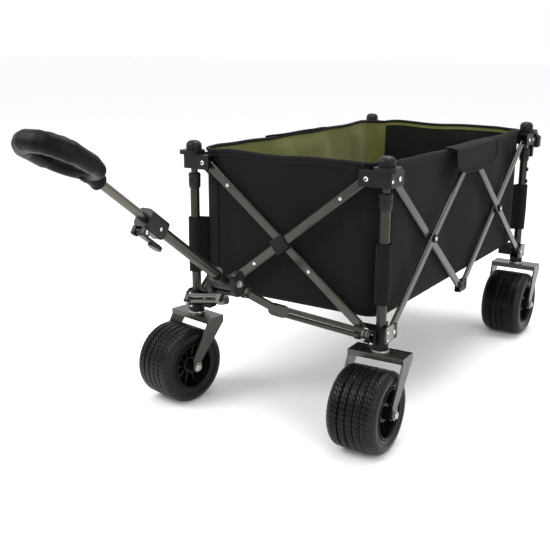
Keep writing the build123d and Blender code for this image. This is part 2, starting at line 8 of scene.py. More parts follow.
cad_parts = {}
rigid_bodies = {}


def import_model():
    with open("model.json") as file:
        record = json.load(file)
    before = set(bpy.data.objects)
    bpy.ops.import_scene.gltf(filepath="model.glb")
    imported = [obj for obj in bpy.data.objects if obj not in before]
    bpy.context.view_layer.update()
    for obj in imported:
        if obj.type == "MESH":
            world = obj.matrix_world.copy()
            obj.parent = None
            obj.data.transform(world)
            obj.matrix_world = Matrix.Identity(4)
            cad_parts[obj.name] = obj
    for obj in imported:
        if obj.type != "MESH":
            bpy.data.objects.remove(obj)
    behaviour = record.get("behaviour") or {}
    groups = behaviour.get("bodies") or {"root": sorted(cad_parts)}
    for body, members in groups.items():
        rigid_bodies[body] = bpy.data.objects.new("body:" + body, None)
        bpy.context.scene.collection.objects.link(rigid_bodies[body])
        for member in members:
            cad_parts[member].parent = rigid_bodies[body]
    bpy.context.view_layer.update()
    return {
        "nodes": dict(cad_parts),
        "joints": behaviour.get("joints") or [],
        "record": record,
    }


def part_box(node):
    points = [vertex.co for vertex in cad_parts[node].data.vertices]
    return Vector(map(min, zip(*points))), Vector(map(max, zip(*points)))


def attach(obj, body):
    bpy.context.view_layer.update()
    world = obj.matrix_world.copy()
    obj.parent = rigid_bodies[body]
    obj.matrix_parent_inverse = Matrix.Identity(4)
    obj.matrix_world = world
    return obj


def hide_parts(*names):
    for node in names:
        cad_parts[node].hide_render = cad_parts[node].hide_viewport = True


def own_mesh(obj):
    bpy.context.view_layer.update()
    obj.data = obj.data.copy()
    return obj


for start_object in list(bpy.data.objects):
    bpy.data.objects.remove(start_object)

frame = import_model()
nodes = frame["nodes"]
scene = bpy.context.scene

# ---------------------------------------------------------------- measures from the frame
JOINTS = {j["name"]: j for j in frame["joints"]}
HALF_X = (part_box("outer_tube_front_right")[0].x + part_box("outer_tube_front_right")[1].x) / 2
HALF_Y = (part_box("outer_tube_rear_right")[0].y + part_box("outer_tube_rear_right")[1].y) / 2
CORNERS = {
    "front_left": (-1, -1),
    "front_right": (1, -1),
    "rear_left": (-1, 1),
    "rear_right": (1, 1),
}
PIVOT = Vector(JOINTS["fold"]["pos_m"])
HIGH_PIVOT_Z = JOINTS["front_left_high"]["pos_m"][2]
RISE = HIGH_PIVOT_Z - PIVOT.z
OPEN = atan2(RISE, -2 * PIVOT.x)
BAR = hypot(2 * PIVOT.x, RISE)
END_INSET = HALF_X + PIVOT.x
SIDE_INSET = HALF_Y + JOINTS["left_front_low"]["pos_m"][1]


# ---------------------------------------------------------------- materials
class Nodes:
    """A material's node tree with short calls."""

    def __init__(self, name):
        self.material = bpy.data.materials.new(name)
        self.material.use_nodes = True
        self.tree = self.material.node_tree
        self.shader = self.tree.nodes["Principled BSDF"]
        self.coords = self.add("ShaderNodeTexCoord").outputs["Object"]
        self.normal = None

    def add(self, kind, **values):
        node = self.tree.nodes.new(kind)
        for key, value in values.items():
            setattr(node, key, value)
        return node

    def link(self, a, b):
        self.tree.links.new(a, b)

    def math(self, operation, a, b=None):
        node = self.add("ShaderNodeMath", operation=operation)
        for n, value in enumerate((a, b)):
            if value is None:
                continue
            if isinstance(value, (int, float)):
                node.inputs[n].default_value = value
            else:
                self.link(value, node.inputs[n])
        return node.outputs[0]

    def noise(self, scale, detail=3.0, rough=0.55, stretch=None, distortion=0.0):
        node = self.add("ShaderNodeTexNoise")
        node.inputs["Scale"].default_value = scale
        node.inputs["Detail"].default_value = detail
        node.inputs["Roughness"].default_value = rough
        node.inputs["Distortion"].default_value = distortion
        source = self.coords
        if stretch:
            mapping = self.add("ShaderNodeMapping")
            mapping.inputs["Scale"].default_value = stretch
            self.link(self.coords, mapping.inputs["Vector"])
            source = mapping.outputs["Vector"]
        self.link(source, node.inputs["Vector"])
        return node.outputs["Fac"]

    def ramp(self, fac, stops):
        node = self.add("ShaderNodeValToRGB")
        ramp = node.color_ramp
        while len(ramp.elements) < len(stops):
            ramp.elements.new(0.5)
        for element, (place, colour) in zip(ramp.elements, stops):
            element.position = place
            element.color = (*colour, 1) if hasattr(colour, "__len__") else (colour, colour, colour, 1)
        self.link(fac, node.inputs["Fac"])
        return node.outputs["Color"]

    def spread(self, fac, low, high):
        node = self.add("ShaderNodeMapRange")
        node.inputs["To Min"].default_value = low
        node.inputs["To Max"].default_value = high
        self.link(fac, node.inputs["Value"])
        return node.outputs["Result"]

    def bump(self, height, strength, distance):
        node = self.add("ShaderNodeBump")
        node.inputs["Strength"].default_value = strength
        node.inputs["Distance"].default_value = distance
        self.link(height, node.inputs["Height"])
        if self.normal is not None:
            self.link(self.normal, node.inputs["Normal"])
        self.normal = node.outputs["Normal"]
        self.link(self.normal, self.shader.inputs["Normal"])

    def set(self, **values):
        for key, value in values.items():
            socket = self.shader.inputs[key.replace("_", " ")]
            if isinstance(value, bpy.types.NodeSocket):
                self.link(value, socket)
            else:
                socket.default_value = value


def dim(colour, share):
    return tuple(c * share for c in colour)


def metal_paint(name, colour, metallic=0.6, rough=0.36, wear=0.12):
    """Gunmetal powder coat: fine orange peel, faint streaks of polish and dust in the colour."""
    m = Nodes(name)
    cloudy = m.noise(22, 4)
    fine = m.noise(900, 2)
    streaks = m.noise(60, 3, stretch=(1, 1, 0.12))
    stops = [(0.3, 1 - wear), (0.62, 1 + wear * 0.6), (0.86, 1 + wear * 1.6)]
    base = m.ramp(cloudy, [(place, dim(colour, share)) for place, share in stops])
    m.set(Base_Color=base, Metallic=metallic, Roughness=m.spread(streaks, rough - 0.07, rough + 0.09))
    m.bump(fine, 0.10, 0.0003)
    m.bump(cloudy, 0.05, 0.001)
    return m.material


def moulded(name, colour, rough=0.5, grain=1400, depth=0.22):
    """Moulded plastic with a spark-eroded grain and slightly uneven gloss."""
    m = Nodes(name)
    cloudy = m.noise(35, 3)
    base = m.ramp(cloudy, [(0.3, dim(colour, 0.85)), (0.7, dim(colour, 1.15))])
    m.set(Base_Color=base, Roughness=m.spread(cloudy, rough - 0.07, rough + 0.08), Specular_IOR_Level=0.2)
    m.bump(m.noise(grain, 2), depth, 0.0004)
    return m.material


def rubber(name, colour, rough=0.72, specular=0.2):
    m = Nodes(name)
    cloudy = m.noise(28, 4)
    dust = m.noise(160, 5)
    base = m.ramp(cloudy, [(0.25, dim(colour, 0.8)), (0.6, colour), (0.85, dim(colour, 1.35))])
    m.set(Base_Color=base, Roughness=m.spread(dust, rough - 0.08, min(1.0, rough + 0.12)))
    m.set(Specular_IOR_Level=specular)
    m.bump(dust, 0.25, 0.0004)
    m.bump(m.noise(1100, 2), 0.2, 0.0003)
    return m.material


def steel(name, colour=(0.62, 0.61, 0.58), rough=0.24):
    m = Nodes(name)
    brushed = m.noise(260, 3, stretch=(1, 1, 0.15))
    m.set(Base_Color=m.ramp(brushed, [(0.3, dim(colour, 0.85)), (0.7, dim(colour, 1.1))]))
    m.set(Metallic=1.0, Roughness=m.spread(brushed, rough - 0.06, rough + 0.08))
    m.bump(brushed, 0.06, 0.0002)
    return m.material


def woven(name, colour, level=False, pitch=0.0013, sheen=0.25, rough=0.85, ribbed=False):
    """Coated polyester canvas: crossing threads, slubs, soft creases, and a little sheen."""
    m = Nodes(name)
    split = m.add("ShaderNodeSeparateXYZ")
    m.link(m.coords, split.inputs[0])
    x, y, z = split.outputs
    u, v = (x, y) if level else (m.math("ADD", x, y), z)
    k = 2 * pi / pitch
    warp = m.math("SINE", m.math("MULTIPLY", u, k))
    weft = m.math("SINE", m.math("MULTIPLY", v, k))
    threads = weft if ribbed else m.math("MULTIPLY", warp, weft)
    lifted = m.math("ADD", m.math("MULTIPLY", threads, 0.5), 0.5)
    slub = m.noise(240, 4, stretch=(1, 1, 4.0))
    patches = m.noise(9, 4)
    tint = m.math("ADD", m.math("MULTIPLY", lifted, 0.18), m.math("MULTIPLY", slub, 0.35))
    tint = m.math("ADD", tint, m.math("MULTIPLY", patches, 0.5))
    base = m.ramp(tint, [(0.25, dim(colour, 0.76)), (0.55, colour), (0.85, dim(colour, 1.25))])
    m.set(Base_Color=base, Roughness=m.spread(slub, rough - 0.06, min(1, rough + 0.08)))
    m.set(Specular_IOR_Level=0.12, Sheen_Weight=sheen, Sheen_Roughness=0.45)
    m.bump(m.noise(26, 4, 0.6, distortion=0.6), 0.3, 0.004)
    m.bump(m.noise(95, 3), 0.16, 0.0014)
    m.bump(threads, 0.35, 0.00035)
    return m.material


OLIVE = (0.112, 0.113, 0.033)
looks = {
    "hub_plastic": moulded("hub_plastic", (0.0042, 0.0042, 0.0042), 0.42),
    "inner_tube_metal": metal_paint("inner_tube_metal", (0.04, 0.039, 0.034), 0.85, 0.24),
    "post_metal": metal_paint("post_metal", (0.034, 0.033, 0.028), 0.85, 0.26),
    "bar_metal": metal_paint("bar_metal", (0.058, 0.056, 0.050), 0.85, 0.2),
    "joint_plastic": moulded("joint_plastic", (0.003, 0.003, 0.003), 0.46),
    "tyre_rubber": rubber("tyre_rubber", (0.0031, 0.0031, 0.0029), 0.33),
    "rim_plastic": moulded("rim_plastic", (0.0035, 0.0035, 0.0035), 0.38),
    "fork_metal": metal_paint("fork_metal", (0.07, 0.068, 0.062), 0.85, 0.26),
    "draw_arm_metal": metal_paint("draw_arm_metal", (0.045, 0.043, 0.036), 0.85, 0.24),
    "handle_plastic": moulded("handle_plastic", (0.006, 0.006, 0.006), 0.34),
    "handle_metal": metal_paint("handle_metal", (0.06, 0.057, 0.048), 0.85, 0.24),
    "handle_bright_metal": metal_paint("handle_bright_metal", (0.1, 0.096, 0.083), 0.85, 0.24, 0.08),
    "grip_rubber": rubber("grip_rubber", (0.003, 0.0027, 0.0024), 0.42, 0.1),
    "wall_fabric": woven("wall_fabric", (0.0052, 0.0052, 0.0052), sheen=0.02),
    "floor_fabric": woven("floor_fabric", (0.0052, 0.0052, 0.0052), True, sheen=0.02),
}
olive_wall = woven("olive_wall", OLIVE, sheen=0.12)
olive_floor = woven("olive_floor", OLIVE, True, sheen=0.12)
webbing = woven("black_webbing", (0.0062, 0.0062, 0.0062), pitch=0.0022, sheen=0.04, ribbed=True)
screw_steel = steel("screw_steel")
lock_steel = steel("lock_steel", (0.42, 0.41, 0.39), 0.34)
plate_grey = metal_paint("plate_grey", (0.2, 0.195, 0.18), 0.7, 0.38)

slot_of = {row["node"]: row["material_slot"] for row in frame["record"]["subparts"]}
for name, node in nodes.items():
    node.data.materials.clear()
    node.data.materials.append(looks[slot_of[name]])


# ---------------------------------------------------------------- mesh helpers
def add_mesh(name, points, faces, material, smooth=True, indices=None, materials=None):
    mesh = bpy.data.meshes.new(name)
    mesh.from_pydata([tuple(p) for p in points], [], faces)
    for m in materials or [material]:
        mesh.materials.append(m)
    if indices:
        mesh.polygons.foreach_set("material_index", indices)
    mesh.polygons.foreach_set("use_smooth", [smooth] * len(mesh.polygons))
    mesh.update()
    piece = bpy.data.objects.new(name, mesh)
    scene.collection.objects.link(piece)
    return piece


def crease(piece, angle=35):
    """Sharp edges where faces meet steeply, the rest smooth."""
    mesh = bmesh.new()
    mesh.from_mesh(piece.data)
    bmesh.ops.recalc_face_normals(mesh, faces=mesh.faces)
    for edge in mesh.edges:
        edge.smooth = not (len(edge.link_faces) == 2 and degrees(edge.calc_face_angle(0)) > angle)
    mesh.to_mesh(piece.data)
    mesh.free()
    return piece


class Batch:
    """Gathers small turned and swept shapes into one mesh."""

    def __init__(self):
        self.points, self.faces = [], []

    def turned(self, origin, axis, profile, sides=24, phase=0.0):
        """Revolves (height, radius) pairs about the axis; a radius of 0 closes the end."""
        axis = Vector(axis).normalized()
        side = axis.orthogonal().normalized()
        other = axis.cross(side)
        rings = []
        for height, radius in profile:
            centre = Vector(origin) + axis * height
            if radius == 0:
                rings.append([len(self.points)])
                self.points.append(centre)
                continue
            rings.append(list(range(len(self.points), len(self.points) + sides)))
            for n in range(sides):
                t = phase + 2 * pi * n / sides
                self.points.append(centre + side * (radius * cos(t)) + other * (radius * sin(t)))
        for a, b in zip(rings, rings[1:]):
            for n in range(sides):
                m = (n + 1) % sides
                if len(a) == 1 and len(b) == 1:
                    continue
                if len(a) == 1:
                    self.faces.append((a[0], b[m], b[n]))
                elif len(b) == 1:
                    self.faces.append((a[n], a[m], b[0]))
                else:
                    self.faces.append((a[n], a[m], b[m], b[n]))

    def screw(self, origin, axis, radius=0.0048, height=0.0026):
        """Round-headed screw with a hexagon socket."""
        r, h = radius, height
        self.turned(origin, axis, [(-0.001, r), (h * 0.35, r), (h * 0.8, r * 0.8), (h, r * 0.52), (h * 0.98, r * 0.46)])
        self.turned(origin, axis, [(h * 0.985, r * 0.5), (h * 0.3, r * 0.42), (h * 0.3, 0)], sides=6)

    def box(self, centre, axes, sizes, bevel=0.0015):
        """Box with chamfered edges; axes are three unit vectors, sizes full lengths."""
        centre = Vector(centre)
        a, b, c = (Vector(v) for v in axes)
        la, lb, lc = (s / 2 for s in sizes)
        k = min(bevel, la * 0.9, lb * 0.9, lc * 0.9)

        def loop(height, x, y):
            out = []
            for sx, sy in ((1, 1), (-1, 1), (-1, -1), (1, -1)):
                for dx, dy in ((k, 0), (0, k)):
                    out.append(centre + a * (sx * (x - dx)) + b * (sy * (y - dy)) + c * height)
            return out

        loops = [loop(-lc, la - k, lb - k), loop(k - lc, la, lb), loop(lc - k, la, lb), loop(lc, la - k, lb - k)]
        start = len(self.points)
        for points in loops:
            points.sort(key=lambda p: atan2((p - centre).dot(b), (p - centre).dot(a)))
            self.points += points
        for n in range(3):
            for m in range(8):
                p, q = start + 8 * n, start + 8 * (n + 1)
                self.faces.append((p + m, p + (m + 1) % 8, q + (m + 1) % 8, q + m))
        self.faces.append(tuple(start + 7 - m for m in range(8)))
        self.faces.append(tuple(start + 24 + m for m in range(8)))

    def make(self, name, material, body, slot=None, angle=35):
        piece = add_mesh(name, self.points, self.faces, material)
        crease(piece, angle)
        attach(piece, body)
        return piece


def swept(path, section, closed_path=False, up=Vector((0, 0, 1)), caps=True):
    """Sweeps a closed section, given as (side, up) pairs or a function of the index, along points."""
    points, faces = [], []
    count = len(path)
    path = [Vector(p) for p in path]
    for n, p in enumerate(path):
        before = path[n - 1] if n or closed_path else path[0]
        after = path[(n + 1) % count] if n < count - 1 or closed_path else path[-1]
        along = (after - before).normalized()
        side = along.cross(up)
        side = side.normalized() if side.length > 1e-6 else along.orthogonal().normalized()
        top = side.cross(along)
        shape = section(n) if callable(section) else section
        points += [p + side * a + top * b for a, b in shape]
    size = len(points) // count
    for n in range(count if closed_path else count - 1):
        m = (n + 1) % count
        for i in range(size):
            j = (i + 1) % size
            faces.append((n * size + i, m * size + i, m * size + j, n * size + j))
    if caps and not closed_path:
        faces.append(tuple(range(size)))
        faces.append(tuple(reversed(range((count - 1) * size, count * size))))
    return points, faces


def circle(radius, sides=14, flat=1.0):
    return [(radius * cos(2 * pi * n / sides), flat * radius * sin(2 * pi * n / sides)) for n in range(sides)]


def smoothstep(a, b, x):
    t = min(1.0, max(0.0, (x - a) / (b - a)))
    return t * t * (3 - 2 * t)


def ripple(x, seeds):
    """Smooth uneven wave built from a few sines."""
    return sum(height * sin(2 * pi * x / length + phase) for height, length, phase in seeds)


# ---------------------------------------------------------------- fabric tub
CLOTH = 0.0024
WALL_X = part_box("tub_wall_right")[1].x
WALL_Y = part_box("tub_wall_rear")[1].y
FLOOR_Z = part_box("tub_floor_front")[0].z
RIM_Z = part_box("tub_wall_right")[1].z
CORNER_R = 0.054
CORNER_DROP = 0.003  # the rim dips a little at the hub flanges
FLANGE_R = 0.0255
FLOOR_TURN = CORNER_R - 0.012
END_HALF = WALL_X - CORNER_R + 0.006


def two_sided(name, grid, inward, inner_material, outer_material, thickness=CLOTH, painted_shade_band=None):
    """Thin closed sheet from a grid of points: [column][row], with its inner skin set off inwards."""
    columns, rows = len(grid), len(grid[0])
    normals = [[None] * rows for _ in range(columns)]
    for i in range(columns):
        for j in range(rows):
            du = grid[min(i + 1, columns - 1)][j] - grid[max(i - 1, 0)][j]
            dv = grid[i][min(j + 1, rows - 1)] - grid[i][max(j - 1, 0)]
            n = du.cross(dv)
            normals[i][j] = n.normalized() * inward if n.length > 1e-12 else Vector((0, 0, 1))
    outer = [p for column in grid for p in column]
    inner = [grid[i][j] + normals[i][j] * thickness for i in range(columns) for j in range(rows)]
    points, faces, index = outer + inner, [], []
    off = len(outer)
    for i in range(columns - 1):
        for j in range(rows - 1):
            a, b, c, d = i * rows + j, (i + 1) * rows + j, (i + 1) * rows + j + 1, i * rows + j + 1
            faces.append((a, b, c, d))
            index.append(1)
            # inner faces in the painted shade band take the black wall fabric: painted shade over the olive cloth
            faces.append((off + d, off + c, off + b, off + a))
            index.append(2 if painted_shade_band and painted_shade_band(j, rows) else 0)
    rim = [(i, 0) for i in range(columns)] + [(columns - 1, j) for j in range(1, rows)]
    rim += [(i, rows - 1) for i in range(columns - 2, -1, -1)] + [(0, j) for j in range(rows - 2, 0, -1)]
    for (i, j), (p, q) in zip(rim, rim[1:] + rim[:1]):
        a, b = i * rows + j, p * rows + q
        faces.append((b, a, off + a, off + b))
        index.append(1)
    # the third skin, black wall fabric, is painted shade on the inner side
    skins = [inner_material, outer_material, looks["wall_fabric"] if painted_shade_band else outer_material]
    piece = add_mesh(name, points, faces, None, True, index, skins)
    crease(piece, 60)
    length = sum((grid[i + 1][rows // 2] - grid[i][rows // 2]).length for i in range(columns - 1))
    height = sum((grid[columns // 2][j + 1] - grid[columns // 2][j]).length for j in range(rows - 1))
    return piece, length, height


def fold_depth(s, z, seeds):
    """How far the cloth stands in from its tight line: soft folds that fade at the floor and towards the rim."""
    tall = (z - FLOOR_Z) / (RIM_Z - FLOOR_Z)
    belly = smoothstep(0, 0.25, tall) * (1 - smoothstep(0.86, 1.0, tall))
    return max(0.0, belly * (0.0045 + ripple(s + 0.09 * tall, seeds)))


def rim_height(distance, sag, s):
    """Height of the rim at a distance from the nearest hub flange."""
    low = RIM_Z - CORNER_DROP
    return (
        low
        + (RIM_Z - low) * smoothstep(0.018, 0.07, distance)
        - sag * smoothstep(0.05, 0.25, distance)
        + 0.0012 * sin(s * 31)
    )


def wall(name, plan, seeds, sag, inner_material, body, painted_shade_band=None, rows=30):
    """A wall of the tub over a plan path.

    Each point of the plan is (run so far, x, y, inward x, inward y, distance from the hub flange, share of folds).
    """
    grid = []
    for s, x, y, nx, ny, d, fade in plan:
        top = rim_height(d, sag, s)
        column = []
        for j in range(rows):
            t = j / (rows - 1)
            z = FLOOR_Z + 0.001 + (top - FLOOR_Z - 0.001) * t
            push = fold_depth(s, z, seeds) * fade + 0.011 * (1 - smoothstep(0, 0.05, t)) ** 2
            column.append(Vector((x + nx * push, y + ny * push, z)))
        grid.append(column)
    centre = Vector((0, 0, 0.4))
    mid = grid[len(grid) // 2][rows // 2]
    du = grid[len(grid) // 2 + 1][rows // 2] - mid
    dv = grid[len(grid) // 2][rows // 2 + 1] - mid
    inward = 1 if du.cross(dv).dot(centre - mid) > 0 else -1
    piece, length, height = two_sided(name, grid, inward, inner_material, looks["wall_fabric"], painted_shade_band=painted_shade_band)
    rim = [column[-1] + Vector((0, 0, 0.0005)) for column in grid]
    points, faces = swept(rim, circle(0.0046, 12))
    piping = add_mesh(f"{name}_piping", points, faces, webbing)
    # narrow binding below the piping, on the outside
    tape_grid = []
    for column, (s, x, y, nx, ny, d, fade) in zip(grid, plan):
        out = Vector((-nx, -ny, 0)) * 0.0009
        tape_grid.append([column[-1] + out + Vector((0, 0, -0.0125 + 0.0122 * n / 3)) for n in range(4)])
    tape, _, _ = two_sided(f"{name}_tape", tape_grid, inward, webbing, webbing, 0.0008)
    for made in (piece, piping, tape):
        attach(made, body)
        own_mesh(made)
    return piece


def long_plan(side):
    """Long wall: both of its corners and the straight run between them."""
    out, s = [], 0.0
    steps = 9
    last = None

    def put(x, y, nx, ny, fade):
        nonlocal s, last
        if last is not None:
            s += hypot(x - last[0], y - last[1])
        last = (x, y)
        d = min(hypot(x - side * HALF_X, y + HALF_Y), hypot(x - side * HALF_X, y - HALF_Y)) - FLANGE_R
        out.append((s, x, y, nx, ny, d, fade))

    cx = side * (WALL_X - CORNER_R)
    for n in range(steps + 1):
        t = pi / 2 * n / steps
        nx, ny = -side * sin(t), cos(t)
        put(cx - nx * CORNER_R, -(WALL_Y - CORNER_R) - ny * CORNER_R, nx, ny, 0.0)
    run = 96
    for n in range(1, run):
        y = -(WALL_Y - CORNER_R) + 2 * (WALL_Y - CORNER_R) * n / run
        fade = smoothstep(0.0, 0.07, (WALL_Y - CORNER_R) - abs(y))
        put(side * WALL_X, y, -side, 0, fade)
    for n in range(steps + 1):
        t = pi / 2 * n / steps
        nx, ny = -side * cos(t), -sin(t)
        put(cx - nx * CORNER_R, (WALL_Y - CORNER_R) - ny * CORNER_R, nx, ny, 0.0)
    return out


def end_plan(end):
    """End wall: the straight run between the long walls' corners, tucked just inside them."""
    out, run = [], 56
    half = END_HALF
    for n in range(run + 1):
        x = -half + 2 * half * n / run
        d = hypot(HALF_X - abs(x), 0.0075) - FLANGE_R
        fade = smoothstep(0.0, 0.06, half - abs(x))
        inset = 0.0026 * (1 - smoothstep(0.004, 0.03, half - abs(x)))
        out.append((n / run * 2 * half, x, end * (WALL_Y - inset), 0, -end, d, fade))
    return out


def painted_shade_rows(row, rows):
    """Rows of the rear wall's inside painted black as shade, all but an olive strip under its rim."""
    return row < rows - 2


left_seeds = [(0.0052, 0.47, 0.4), (0.0028, 0.23, 1.9), (0.0009, 0.11, 0.3)]
right_seeds = [(0.0042, 0.51, 2.4), (0.0022, 0.21, 0.7), (0.0007, 0.11, 1.3)]
end_seeds = [(0.0035, 0.33, 1.1), (0.0018, 0.15, 0.2), (0.0006, 0.08, 2.5)]
# the long walls draw in a little from the hubs as well, because their corners tighten
left_wall = wall("tub_left", long_plan(-1), left_seeds, 0.004, olive_wall, "front_left_head")
right_wall = wall("tub_right", long_plan(1), right_seeds, 0.004, olive_wall, "front_right_head")
front_wall = wall("tub_front", end_plan(-1), end_seeds, 0.003, olive_wall, "front_left_head")
# the rear wall's olive inside is painted black below its rim strip: painted shade
rear_wall = wall("tub_rear", end_plan(1), end_seeds, 0.003, olive_wall, "rear_left_head", painted_shade_rows)
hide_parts("tub_wall_left")
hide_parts("tub_wall_right")
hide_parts("tub_wall_front")
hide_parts("tub_wall_rear")


def floor_section(name, y0, y1, lift, body):
    """One third of the floor: a stiffened panel between two sewn fold lines, slightly slack."""
    columns, rows = 41, 41
    grid = []
    for i in range(columns):
        column = []
        for j in range(rows):
            y = y0 + (y1 - y0) * j / (rows - 1)
            into = min(FLOOR_TURN, max(0.0, abs(y) - (WALL_Y - CORNER_R)))
            half = WALL_X - CORNER_R + sqrt(FLOOR_TURN * FLOOR_TURN - into * into)
            x = -half + 2 * half * i / (columns - 1)
            edge = min(half - abs(x), y - y0 + 0.004, y1 - y + 0.004)
            crown = 0.0022 * smoothstep(0.0, 0.03, edge)
            wave = 0.0007 * sin(31 * x + 11 * y) + 0.0006 * sin(43 * y - 17 * x)
            column.append(Vector((x, y, FLOOR_Z + 0.0002 + lift + crown + wave * smoothstep(0, 0.05, edge))))
        grid.append(column)
    piece, width, length = two_sided(name, grid, 1, olive_floor, looks["floor_fabric"])
    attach(piece, body)
    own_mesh(piece)
    return piece


for name, body, lift in (
    ("front", "front_left_head", 0.0),
    ("middle", "left_upper_joint", 0.0042),
    ("rear", "rear_left_head", 0.0084),
):
    low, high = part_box(f"tub_floor_{name}")
    # the middle section is a little short, so that it fits between the end walls when folded
    inset_low = {"front": 0.011, "middle": 0.0035, "rear": -0.004}[name]
    inset_high = {"front": -0.001, "middle": 0.0035, "rear": 0.011}[name]
    section = floor_section(f"tub_base_{name}", low.y + inset_low, high.y - inset_high, lift, body)
    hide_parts(f"tub_floor_{name}")

# sleeves: cloth loops that slide on the lower posts, sewn to the tub's corners
SLEEVE_R = 0.0166
SLEEVE_START, SLEEVE_TURN = radians(-148), radians(296)
for corner, (sx, sy) in CORNERS.items():
    centre = Vector((sx * HALF_X, sy * HALF_Y, 0))
    corner_dir = Vector((-sx, -sy, 0)).normalized()
    cross = Vector((-corner_dir.y, corner_dir.x, 0))
    grid = []
    tail = 0.0345
    z0, z1 = 0.309, 0.441
    outline = [corner_dir * tail + cross * -0.0018]
    for n in range(27):
        t = SLEEVE_START + SLEEVE_TURN * n / 26
        outline.append(-corner_dir * (SLEEVE_R * cos(t)) + cross * (SLEEVE_R * sin(t)))
    outline.append(corner_dir * tail + cross * 0.0018)
    if (outline[1] - outline[0]).length > (outline[-2] - outline[0]).length:
        outline[1:-1] = outline[-2:0:-1]
    for k, p in enumerate(outline):
        column = []
        for j in range(15):
            t = j / 14
            z = z0 + (z1 - z0) * t
            flare = 1 + 0.03 * sin(pi * t) + 0.02 * sin(k * 1.7 + sx) * sin(9 * t + k * 0.8) * sin(pi * t)
            column.append(centre + p * (flare if 0 < k < len(outline) - 1 else 1) + Vector((0, 0, z)))
        grid.append(column)
    piece, width, height = two_sided(f"sleeve_{corner}", grid, 1, looks["wall_fabric"], looks["wall_fabric"], 0.001)
    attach(piece, f"{corner}_head")

# flaps that hang from the rim over the upper middle joints
for side, name in ((-1, "left"), (1, "right")):
    y0, y1 = (-0.125, 0.15)
    columns, rows = 45, 20
    grid = []
    for i in range(columns):
        s = i / (columns - 1)
        y = y0 + (y1 - y0) * s
        depth = (0.058 + 0.006 * s) * (1 - abs(2 * s - 1) ** 5 * 0.5)
        column = []
        for j in range(rows):
            t = j / (rows - 1)
            reach = 0.031 * smoothstep(0.0, 0.34, t)
            x = WALL_X - 0.004 + reach + 0.0012 * sin(19 * y + 6 * t) * t + 0.0018 * t * t
            z = (
                RIM_Z + 0.0036 - 0.0055 * t
                - depth * smoothstep(0.12, 1.0, t) * (0.6 + 0.4 * t)
                + 0.0006 * (1 - t) * sin(40 * y)
            )
            column.append(Vector((side * x, y, z)))
        grid.append(column)
    mid = grid[columns // 2][rows // 2]
    du = grid[columns // 2 + 1][rows // 2] - mid
    dv = grid[columns // 2][rows // 2 + 1] - mid
    inward = 1 if du.cross(dv).dot(Vector((-side, 0, 0))) > 0 else -1
    flap, width, height = two_sided(f"flap_{name}", grid, inward, looks["wall_fabric"], looks["wall_fabric"], 0.0016)
    edge_line = [grid[0][j] for j in range(6, rows)]
    edge_line += [grid[i][-1] for i in range(1, columns - 1)]
    edge_line += [grid[-1][j] for j in range(rows - 1, 5, -1)]
    points, faces = swept(edge_line, circle(0.0021, 8), up=Vector((side, 0, 0)))
    binding = add_mesh(f"flap_{name}_binding", points, faces, webbing)
    for made in (flap, binding):
        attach(made, f"{name}_upper_joint")
        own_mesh(made)


# ---------------------------------------------------------------- tyres
def tyre_mesh(radius, half, bead):
    """Wide tyre: five ribs, four grooves, S-shaped sipes across the ribs, ringed sidewalls."""
    shoulder, turns = 0.018, 300
    crown = half - 0.014
    across = []
    steps = 64
    for n in range(steps + 1):
        across.append((-crown + 2 * crown * n / steps, radius, "tread"))
    for n in range(1, 9):
        t = pi / 2 * n / 9
        across.append((half - shoulder + shoulder * sin(t), radius - shoulder + shoulder * cos(t), "side"))
    sidewall = (
        (half, radius - 0.0185),
        (half - 0.0006, radius - 0.022),
        (half - 0.0022, radius - 0.0225),
        (half - 0.0026, radius - 0.0255),
        (half - 0.0014, radius - 0.0262),
        (half - 0.0028, bead + 0.0035),
        (half - 0.0042, bead + 0.0008),
        (half - 0.0062, bead + 0.0004),
    )
    for w, r in sidewall:
        across.append((w, r, "side"))
    left = [(-w, r, kind) for w, r, kind in reversed(across[steps + 1:])]
    across = left + across
    ribs, groove = 5, 0.0034
    width = 2 * crown / ribs
    points, faces = [], []
    for n in range(turns):
        for w, r, kind in across:
            depth, shift = 0.0, 0.0
            if kind == "tread":
                place = (w + crown) / width
                near = abs(place - round(place)) * width
                if 0 < round(place) < ribs:
                    depth = 0.0042 * (1 - smoothstep(groove * 0.35, groove * 0.75, near))
                within = place - int(min(place, ribs - 1e-6))
                shift = 0.0052 * sin(2 * pi * (within - 0.5)) + 0.0045 * (within - 0.5) * 2
                if n % 6 == 0 and near > groove * 0.62:
                    depth = max(depth, 0.0026)
                depth += 0.0009 * ((w / crown) ** 4)
            elif r > radius - 0.014 and n % 6 == 0 and abs(w) > crown:
                depth = 0.0012
                shift = 0.0045
            if kind == "side" and abs(w) > crown and r > radius - 0.018:
                shift = 0.0045
            t = 2 * pi * n / turns + shift / radius
            points.append(Vector((w, (r - depth) * cos(t), (r - depth) * sin(t))))
    size = len(across)
    for n in range(turns):
        m = (n + 1) % turns
        for i in range(size - 1):
            faces.append((n * size + i, n * size + i + 1, m * size + i + 1, m * size + i))
        faces.append((n * size + size - 1, n * size, m * size, m * size + size - 1))
    return points, faces


def wheel_place(corner):
    """Centre and axle direction of a wheel, from its rolling joint."""
    joint = JOINTS[f"{corner}_roll"]
    return Vector(joint["pos_m"]), Vector(joint["axis"]).normalized()


